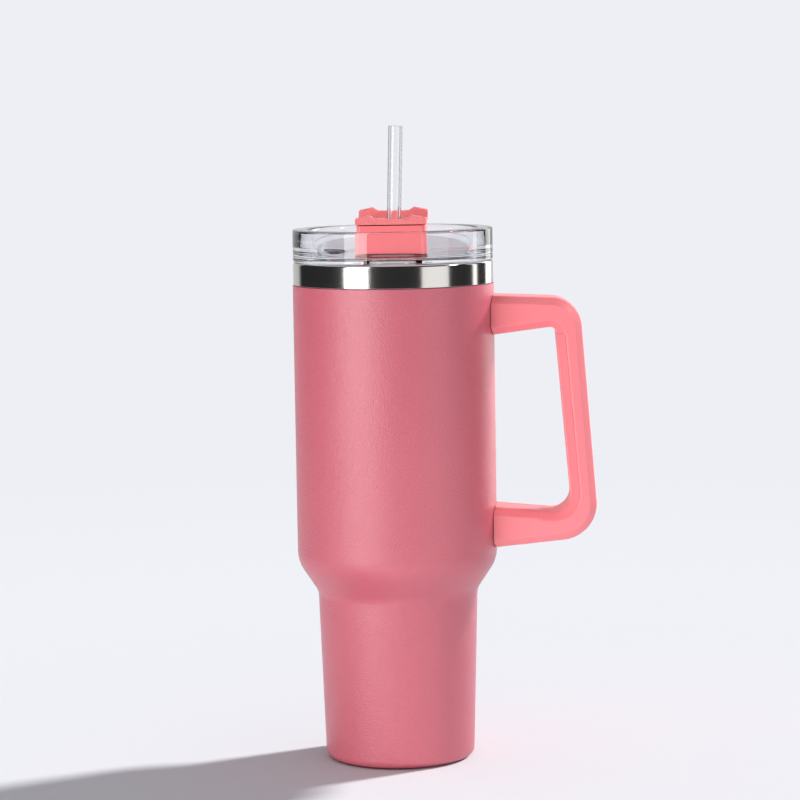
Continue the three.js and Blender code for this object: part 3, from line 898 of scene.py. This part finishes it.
class TUMBLER_OT_lid(bpy.types.Operator):
    """Builds the clear lid: its plug and well, the ring round the well, and the seals"""

    bl_idname = "tumbler.lid"
    bl_label = "Lid"

    def execute(self, context):
        lid = context.scene.tumbler_lid
        low = foot_of("lid_base")
        flange_top = foot_of("lid_ring") - GAP
        sizes = {
            "Radius": lid.radius,
            "Well radius": lid.well_radius,
            "Rim round": lid.rim_round,
            "Flange foot": top_of("inner_liner") + GAP,
            "Flange top": flange_top,
            "Lid top": top_of("lid_ring"),
            "Ring foot": foot_of("lid_ring"),
        }
        skirt, skirt_wall, boss = 45.4 * MM, 2.2 * MM, 13 * MM
        groove, groove_low, groove_high = 44 * MM, low + 4 * MM, low + 7.4 * MM
        hub_hole, hub_seat = 7 * MM, 9.6 * MM

        def profile(s):
            floor_top = s["Flange top"] - DISC_THICKNESS
            floor_low = floor_top - 2 * MM
            boss_low = floor_low - 1.4 * MM
            return [
                (hub_hole, boss_low),
                (boss, boss_low, 0.4 * MM),
                (boss, floor_low),
                (skirt - skirt_wall, floor_low, 0.8 * MM),
                (skirt - skirt_wall, low, 0.6 * MM),
                (skirt, low, 0.8 * MM),
                (skirt, groove_low),
                (groove, groove_low),
                (groove, groove_high),
                (skirt, groove_high),
                (skirt, s["Flange foot"]),
                (s["Radius"], s["Flange foot"], 0.5 * MM),
                (s["Radius"], s["Flange top"], 0.3 * MM),
                (s["Radius"] - 0.5 * MM, s["Flange top"] + 0.15 * MM),
                (s["Radius"], s["Ring foot"], 0.3 * MM),
                (s["Radius"], s["Lid top"], s["Rim round"]),
                (s["Well radius"] + 2.4 * MM, s["Lid top"], 2 * MM),
                (s["Well radius"] + 0.9 * MM, s["Ring foot"] + 4 * MM, 6 * MM),
                (s["Well radius"], s["Ring foot"] + 0.6 * MM, 0.5 * MM),
                (s["Well radius"], floor_top, 0.3 * MM),
                (hub_seat, floor_top),
                (hub_seat, floor_low),
                (hub_hole, floor_low),
            ]

        body = turned("clear_lid", profile, clear_plastic(), steps=6, sizes=sizes)
        hole = rounded(box_outline(16 * MM, 7 * MM, 3.4 * MM, SIP_PLACE), steps=8)
        cut(body, prism("sip_cutter", hole, low, flange_top))
        steady_normals(body)
        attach(body, "lid")
        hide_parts("lid_base", "lid_ring")
        seal_low, seal_high = foot_of("lid_gasket"), top_of("lid_gasket")
        seal = turned(
            "lid_seal",
            [
                (groove + GAP, seal_low, 0.3 * MM),
                (skirt - GAP, seal_low, 0.3 * MM),
                (reach_of("lid_gasket"), (seal_low + seal_high) / 2, 0.7 * MM),
                (skirt - GAP, seal_high, 0.3 * MM),
                (groove + GAP, seal_high, 0.3 * MM),
            ],
            silicone(),
            steps=4,
        )
        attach(seal, "lid")
        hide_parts("lid_gasket")
        for node in ("sip_seal", "hub_o_ring"):
            paint(node, silicone())
        return {"FINISHED"}


COVER_YAW = math.radians(-1.4)
WINDOW_TURN = math.radians(-60)
BAR_WIDTH, BAR_LENGTH, BAR_WALL = 33 * MM, 60 * MM, 2 * MM
BORE_RADIUS = 5.6 * MM


class TUMBLER_OT_cover(bpy.types.Operator):
    """Builds the turning disc with its window, and the thumb bar with its notched cap"""

    bl_idname = "tumbler.cover"
    bl_label = "Drink cover"

    def execute(self, context):
        disc_top = top_of("turning_disc")
        disc_low = disc_top - DISC_THICKNESS
        hub_low = foot_of("turning_disc")
        hub, hub_bore = 6.4 * MM, 5 * MM
        radius = reach_of("turning_disc")
        disc = turned(
            "cover_disc",
            [
                (hub_bore, hub_low, 0.3 * MM),
                (hub, hub_low, 0.3 * MM),
                (hub, disc_low),
                (radius, disc_low, 0.4 * MM),
                (radius, disc_top, 0.4 * MM),
                (hub_bore, disc_top, 0.3 * MM),
            ],
            clear_plastic(),
            steps=3,
        )
        window = prism(
            "window_cutter",
            rounded(box_outline(17 * MM, 8 * MM, 3.9 * MM, SIP_PLACE), steps=8),
            disc_low - MM,
            disc_top + MM,
        )
        window.data.transform(Matrix.Rotation(WINDOW_TURN + COVER_YAW, 4, "Z"))
        cut(disc, window)
        steady_normals(disc)
        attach(disc, "cover")
        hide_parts("turning_disc")
        paint("hub_retainer", mill_steel())
        for make, node, skin in (
            (self.housing, "bar_housing", bar_plastic),
            (self.cap, "bar_cap", cap_plastic),
        ):
            piece = make()
            piece.data.materials.append(skin())
            piece.data.transform(Matrix.Rotation(COVER_YAW, 4, "Z"))
            steady_normals(piece, 40)
            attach(piece, "cover")
            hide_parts(node)
        return {"FINISHED"}

    def housing(self):
        low, high = foot_of("bar_housing"), top_of("bar_housing") - 0.25 * MM
        block = rounded(box_outline(BAR_WIDTH, BAR_LENGTH, 2 * MM), steps=6)
        room = rounded(box_outline(BAR_WIDTH - 2 * BAR_WALL, BAR_LENGTH - 2 * BAR_WALL, 1 * MM), steps=3)
        body = prism("bar_body", block, low, high)
        cut(body, prism("room_cutter", room, low - MM, high - BAR_WALL))
        return self.bored(body, low - MM, high + MM)

    def bored(self, body, low, high):
        """Bores the straw's hole through a piece of the bar."""
        angles = [math.tau * i / SMALL_TURNS for i in range(SMALL_TURNS)]
        circle = [Vector((math.cos(angle), math.sin(angle))) * BORE_RADIUS for angle in angles]
        return cut(body, prism("bore_cutter", circle, low, high))

    def cap(self):
        low = foot_of("bar_cap")
        half, wing, notch = 17.1 * MM, 10.3 * MM, 7.6 * MM

        def section(floor, peak, outer):
            """The cap's outline across the bar, from the heights of its notch, its wings and its ends."""
            return [
                (-half, low, 0.5 * MM),
                (half, low, 0.5 * MM),
                (half, low + outer * MM, 0.8 * MM),
                (wing, low + peak * MM, 0.7 * MM),
                (notch, low + floor * MM, 0.8 * MM),
                (-notch, low + floor * MM, 0.8 * MM),
                (-wing, low + peak * MM, 0.7 * MM),
                (-half, low + outer * MM, 0.8 * MM),
            ]

        front, deck, back = section(2.5, 4.4, 3.0), section(1.8, 1.8, 1.8), section(4.8, 6.5, 5.1)
        runs = [(-30.6, front), (-20.6, front), (-20.2, deck), (18.2, deck), (18.6, back), (30.6, back)]
        shape = bmesh.new()
        rings = []
        for depth, corners in runs:
            outline = rounded(corners, steps=3)
            rings.append([shape.verts.new((point.x, depth * MM, point.y)) for point in outline])
        for near, far in zip(rings, rings[1:]):
            for i in range(len(near)):
                j = (i + 1) % len(near)
                shape.faces.new((near[i], near[j], far[j], far[i]))
        shape.faces.new(rings[0])
        shape.faces.new(rings[-1])
        face_outward(shape)
        return self.bored(made(shape, "bar_top"), low - MM, low + 8 * MM)


STRAW_LEAN = math.radians(1.77)


class TUMBLER_OT_straw(bpy.types.Operator):
    """Builds the clear drinking straw"""

    bl_idname = "tumbler.straw"
    bl_label = "Straw"

    def execute(self, context):
        low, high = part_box("straw")
        outer, inner, soft = 3.5 * MM, 2.5 * MM, 0.4 * MM
        length = (high.z - low.z - 2 * outer * math.sin(STRAW_LEAN)) / math.cos(STRAW_LEAN)
        straw = turned(
            "straw_tube",
            [
                (inner, 0, soft),
                (outer, 0, soft),
                (outer, length, soft),
                (inner, length, soft),
            ],
            straw_plastic(),
            segments=SMALL_TURNS,
            steps=4,
        )
        foot_x = low.x + outer * math.cos(STRAW_LEAN)
        foot_z = low.z + outer * math.sin(STRAW_LEAN)
        lean = Matrix.Rotation(STRAW_LEAN, 4, "Y")
        straw.data.transform(Matrix.Translation((foot_x, 0, foot_z)) @ lean)
        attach(straw, "straw")
        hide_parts("straw")
        return {"FINISHED"}


BACKDROP = (0.853, 0.863, 0.912, 1)
FLOOR_COLOUR = (0.828, 0.842, 0.877, 1)
FILL_COLOUR = (0.95, 0.96, 1, 1)
HARD_AZIMUTH, HARD_RISE, HARD_ANGLE, HARD_ENERGY = 120.5, 37, 6, 3.4

# Name, azimuth, distance, height, width, tallness, energy, and the height it is aimed at
LIGHTS = (
    ("key_box", -42.5, 1.5, 0.55, 0.72, 1.9, 24.5, 0.55),
    ("white_card", 49, 1.5, 0.3, 0.9, 0.9, 3.1, 0.3),
    ("edge_strip", 107, 1.5, 0.55, 0.2, 1.2, 1.4, 0.55),
    ("rim_strip", 142, 1.5, 0.4, 0.5, 1.4, 4.5, 0.16),
    ("top_box", 87, 1.15, 1.2, 0.23, 0.23, 3.6, 0.2),
    ("near_light", 126, 0.5, 0.45, 0.05, 0.05, 4.6, 0.16),
    ("low_card", -5, 0.3, 0.02, 0.3, 0.06, 0.32, 0.06),
)
UNMIRRORED = ("near_light", "low_card")

CAMERA_PLACE = (0.0024, -1.4, 0.3204)
CAMERA_TILT, CAMERA_ROLL = 90 - 5.83, -0.914
CAMERA_LENS = 128.55


def area_light(name, azimuth, distance, height, width, tall, energy, aim):
    """A soft box that faces the tumbler. Azimuth 0 is the camera's side and +90 the handle's."""
    light = bpy.data.lights.new(name, "AREA")
    light.shape = "RECTANGLE"
    light.size = width
    light.size_y = tall
    light.energy = energy
    lamp = link(light, name)
    turn = math.radians(azimuth)
    lamp.location = (distance * math.sin(turn), -distance * math.cos(turn), height)
    lamp.rotation_euler = (lamp.location - Vector((0, 0, aim))).to_track_quat("Z", "Y").to_euler()
    lamp.visible_camera = False
    lamp.visible_transmission = False
    lamp.visible_glossy = name not in UNMIRRORED


class TUMBLER_OT_stage(bpy.types.Operator):
    """Sets the pale floor, the studio light and the camera"""

    bl_idname = "tumbler.stage"
    bl_label = "Stage"

    def execute(self, context):
        context.scene.view_settings.view_transform = "Standard"
        self.floor()
        self.world(context.scene)
        for light in LIGHTS:
            area_light(*light)
        self.sun()
        self.share_light()
        self.camera(context.scene)
        return {"FINISHED"}

    def floor(self):
        shape = bmesh.new()
        bmesh.ops.create_circle(shape, cap_ends=True, segments=128, radius=8)
        floor = made(shape, "floor")
        material = bpy.data.materials.new("pale_floor")
        material.use_nodes = True
        tree = material.node_tree
        tree.nodes.clear()
        place = add_node(tree, "ShaderNodeTexCoord").outputs["Object"]
        length = {"operation": "LENGTH"}
        away = add_node(tree, "ShaderNodeVectorMath", length, Vector=place).outputs["Value"]
        fade = add_node(
            tree, "ShaderNodeMapRange", {"interpolation_type": "SMOOTHERSTEP"},
            Value=away, From_Min=0.35, From_Max=1.3,
        ).outputs[0]
        lit = add_node(tree, "ShaderNodeBsdfDiffuse", Color=FLOOR_COLOUR).outputs[0]
        glow = add_node(tree, "ShaderNodeEmission", Color=BACKDROP).outputs[0]
        open_air = add_node(tree, "ShaderNodeBsdfTransparent").outputs[0]
        rays = add_node(tree, "ShaderNodeLightPath").outputs
        seen = maths(tree, "MAXIMUM", rays["Is Camera Ray"], rays["Is Transmission Ray"])
        far = mix_shaders(tree, seen, open_air, glow)
        add_node(tree, "ShaderNodeOutputMaterial", Surface=mix_shaders(tree, fade, lit, far))
        floor.data.materials.append(material)

    def share_light(self):
        """Leaves the floor to the hard light alone, so that it stays evenly pale."""
        floor = bpy.data.objects["floor"]
        for name, state, lamps in (
            ("floor_alone", "INCLUDE", ("hard_light",)),
            ("all_but_floor", "EXCLUDE", [light[0] for light in LIGHTS]),
        ):
            taking = bpy.data.collections.new(name)
            taking.objects.link(floor)
            taking.collection_objects[0].light_linking.link_state = state
            for lamp in lamps:
                bpy.data.objects[lamp].light_linking.receiver_collection = taking

    def world(self, scene):
        """A pale surround, which gloss sees as a dark room that is open at the back."""
        world = bpy.data.worlds.new("studio")
        scene.world = world
        world.use_nodes = True
        tree = world.node_tree
        tree.nodes.clear()
        place = add_node(tree, "ShaderNodeTexCoord").outputs["Generated"]
        backward = add_node(tree, "ShaderNodeSeparateXYZ", Vector=place).outputs["Y"]
        behind = add_node(
            tree, "ShaderNodeMapRange", {"interpolation_type": "SMOOTHSTEP"},
            Value=backward, From_Min=0.66, From_Max=0.78, To_Min=0.03, To_Max=0.85,
        ).outputs[0]
        pale = add_node(tree, "ShaderNodeBackground", Color=BACKDROP).outputs[0]
        room = add_node(tree, "ShaderNodeBackground", Strength=behind).outputs[0]
        fill = add_node(tree, "ShaderNodeBackground", Color=FILL_COLOUR, Strength=0.4).outputs[0]
        rays = add_node(tree, "ShaderNodeLightPath").outputs
        outside = maths(tree, "LESS_THAN", rays["Transmission Depth"], 0.5)
        mirrored = maths(tree, "MULTIPLY", outside, rays["Is Glossy Ray"])
        glossy = mix_shaders(tree, mirrored, pale, room)
        spread = mix_shaders(tree, rays["Is Diffuse Ray"], glossy, fill)
        add_node(tree, "ShaderNodeOutputWorld", Surface=spread)

    def sun(self):
        light = bpy.data.lights.new("hard_light", "SUN")
        light.energy = HARD_ENERGY
        light.angle = math.radians(HARD_ANGLE)
        azimuth, rise = math.radians(HARD_AZIMUTH), math.radians(HARD_RISE)
        towards = Vector((
            math.sin(azimuth) * math.cos(rise),
            -math.cos(azimuth) * math.cos(rise),
            math.sin(rise),
        ))
        link(light, "hard_light").rotation_euler = towards.to_track_quat("Z", "Y").to_euler()

    def camera(self, scene):
        data = bpy.data.cameras.new("camera")
        data.lens = CAMERA_LENS
        data.sensor_width = 36
        data.clip_start = 0.05
        data.clip_end = 50
        camera = link(data, "camera")
        tilt = Matrix.Rotation(math.radians(CAMERA_TILT), 4, "X")
        roll = Matrix.Rotation(math.radians(CAMERA_ROLL), 4, "Z")
        camera.matrix_world = Matrix.Translation(CAMERA_PLACE) @ tilt @ roll
        scene.camera = camera


class TUMBLER_PT_panel(bpy.types.Panel):
    """Lists the tumbler's sizes, colours and pieces"""

    bl_idname = "TUMBLER_PT_panel"
    bl_label = "Tumbler"
    bl_space_type = "VIEW_3D"
    bl_region_type = "UI"
    bl_category = "Tumbler"

    def draw(self, context):
        scene = context.scene
        for name, group in GROUPS.items():
            column = self.layout.column(align=True)
            for size in group.__annotations__:
                column.prop(getattr(scene, name), size)
        for operator in OPERATORS:
            self.layout.operator(operator.bl_idname)


GROUPS = {
    "tumbler_cup": CupSizes,
    "tumbler_handle": HandleSizes,
    "tumbler_lid": LidSizes,
    "tumbler_finishes": Finishes,
}
OPERATORS = (
    TUMBLER_OT_stage,
    TUMBLER_OT_cup,
    TUMBLER_OT_pad,
    TUMBLER_OT_handle,
    TUMBLER_OT_lid,
    TUMBLER_OT_cover,
    TUMBLER_OT_straw,
)


def register():
    for group in GROUPS.values():
        bpy.utils.register_class(group)
    for name, group in GROUPS.items():
        setattr(bpy.types.Scene, name, bpy.props.PointerProperty(type=group))
    for kind in (*OPERATORS, TUMBLER_PT_panel):
        bpy.utils.register_class(kind)


def unregister():
    for kind in (TUMBLER_PT_panel, *reversed(OPERATORS)):
        bpy.utils.unregister_class(kind)
    for name, group in reversed(GROUPS.items()):
        delattr(bpy.types.Scene, name)
        bpy.utils.unregister_class(group)


def main():
    register()
    bpy.ops.tumbler.stage()
    bpy.ops.tumbler.cup()
    bpy.ops.tumbler.pad()
    bpy.ops.tumbler.handle()
    bpy.ops.tumbler.lid()
    bpy.ops.tumbler.cover()
    bpy.ops.tumbler.straw()


if __name__ == "__main__":
    main()
